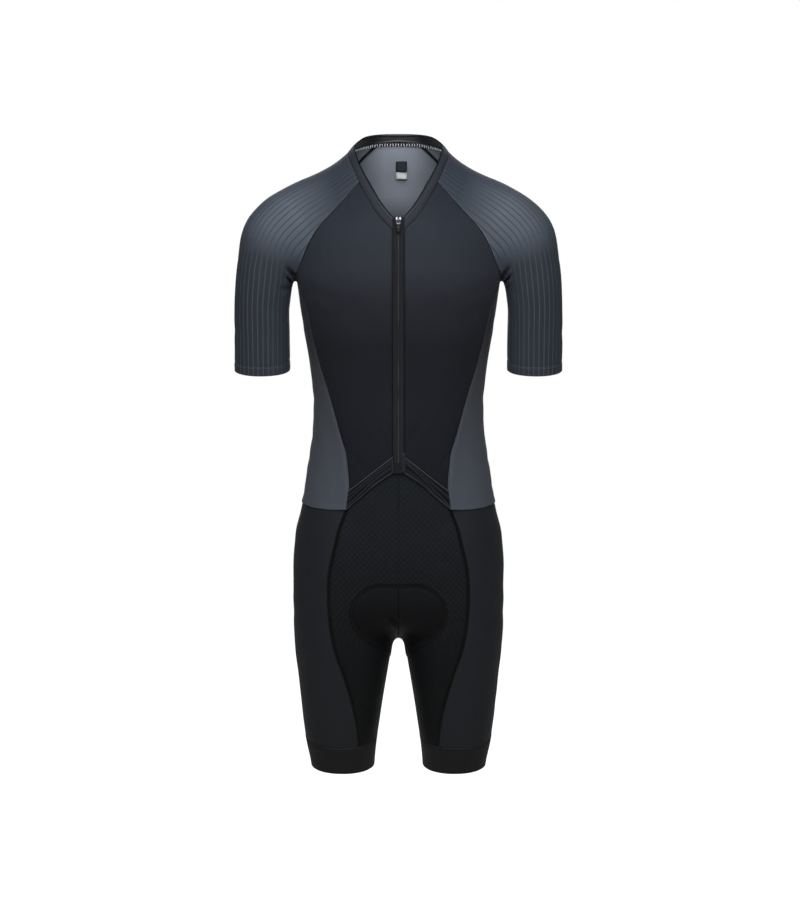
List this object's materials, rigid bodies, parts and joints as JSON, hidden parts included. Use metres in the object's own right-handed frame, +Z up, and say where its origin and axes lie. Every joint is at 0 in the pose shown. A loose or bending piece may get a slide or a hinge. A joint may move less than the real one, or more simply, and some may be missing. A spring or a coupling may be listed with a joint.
{
  "type": "cycling skinsuit",
  "caption": "Short-sleeved one-piece cycling suit with a full front zip, raglan sleeves, inner seat pad and banded legs, hollow and filled out as worn.",
  "frame": {"origin": "between the wearer's shoulders, on the middle plane, where the suit hangs from them", "axes": "+Z up the worn suit, -Y the way the wearer faces, +X the wearer's left"},
  "size_m": [0.4932, 0.2399, 0.9618],
  "materials": {
    "front_cloth": "fine ribbed warp knit, soft sheen",
    "hem_cloth": "folded knit band, matte with bright piping",
    "side_cloth": "smooth knit, soft sheen",
    "sleeve_cloth": "pinstriped aero knit, paler over the shoulder",
    "neck_cloth": "bound elastic knit, satin inside",
    "zip_tape": "woven tape, matte",
    "zip_coil": "nylon coil, satin",
    "slider_metal": "bright nickel plate",
    "pull_rubber": "moulded soft plastic, satin",
    "shorts_front_cloth": "dimpled honeycomb knit, soft sheen",
    "shorts_side_cloth": "fine grid knit, soft sheen",
    "leg_band_cloth": "plain elastic, matte",
    "pad_cloth": "brushed knit over foam, matte",
    "seam_tape": "satin tape",
    "label_dark": "plain woven label",
    "label_pale": "plain printed-cloth label, left blank"
  },
  "bodies": {
    "suit": {"front_left": "front_cloth", "front_right": "front_cloth", "front_hem_left": "hem_cloth", "front_hem_right": "hem_cloth", "side_left": "side_cloth", "side_right": "side_cloth", "sleeve_left": "sleeve_cloth", "sleeve_right": "sleeve_cloth", "zip_tape_left": "zip_tape", "zip_tape_right": "zip_tape", "shorts_front_left": "shorts_front_cloth", "shorts_front_right": "shorts_front_cloth", "shorts_side_left": "shorts_side_cloth", "shorts_side_right": "shorts_side_cloth", "leg_band_left": "leg_band_cloth", "leg_band_right": "leg_band_cloth", "raglan_tape_left": "seam_tape", "raglan_tape_right": "seam_tape", "back": "side_cloth", "neck_band": "neck_cloth", "zip_coil": "zip_coil", "zip_base": "zip_tape", "zip_slider": "slider_metal", "seat_pad": "pad_cloth", "neck_label": "label_dark", "size_label": "label_pale"},
    "pull": {"zip_pull_link": "slider_metal", "zip_pull": "pull_rubber"}
  },
  "joints": [
    {"name": "pull_hinge", "type": "hinge", "parent": "suit", "child": "pull", "pos_m": [0, -0.10884, -0.09407], "axis": [-1, 0, 0], "range_deg": [0, 150]}
  ]
}
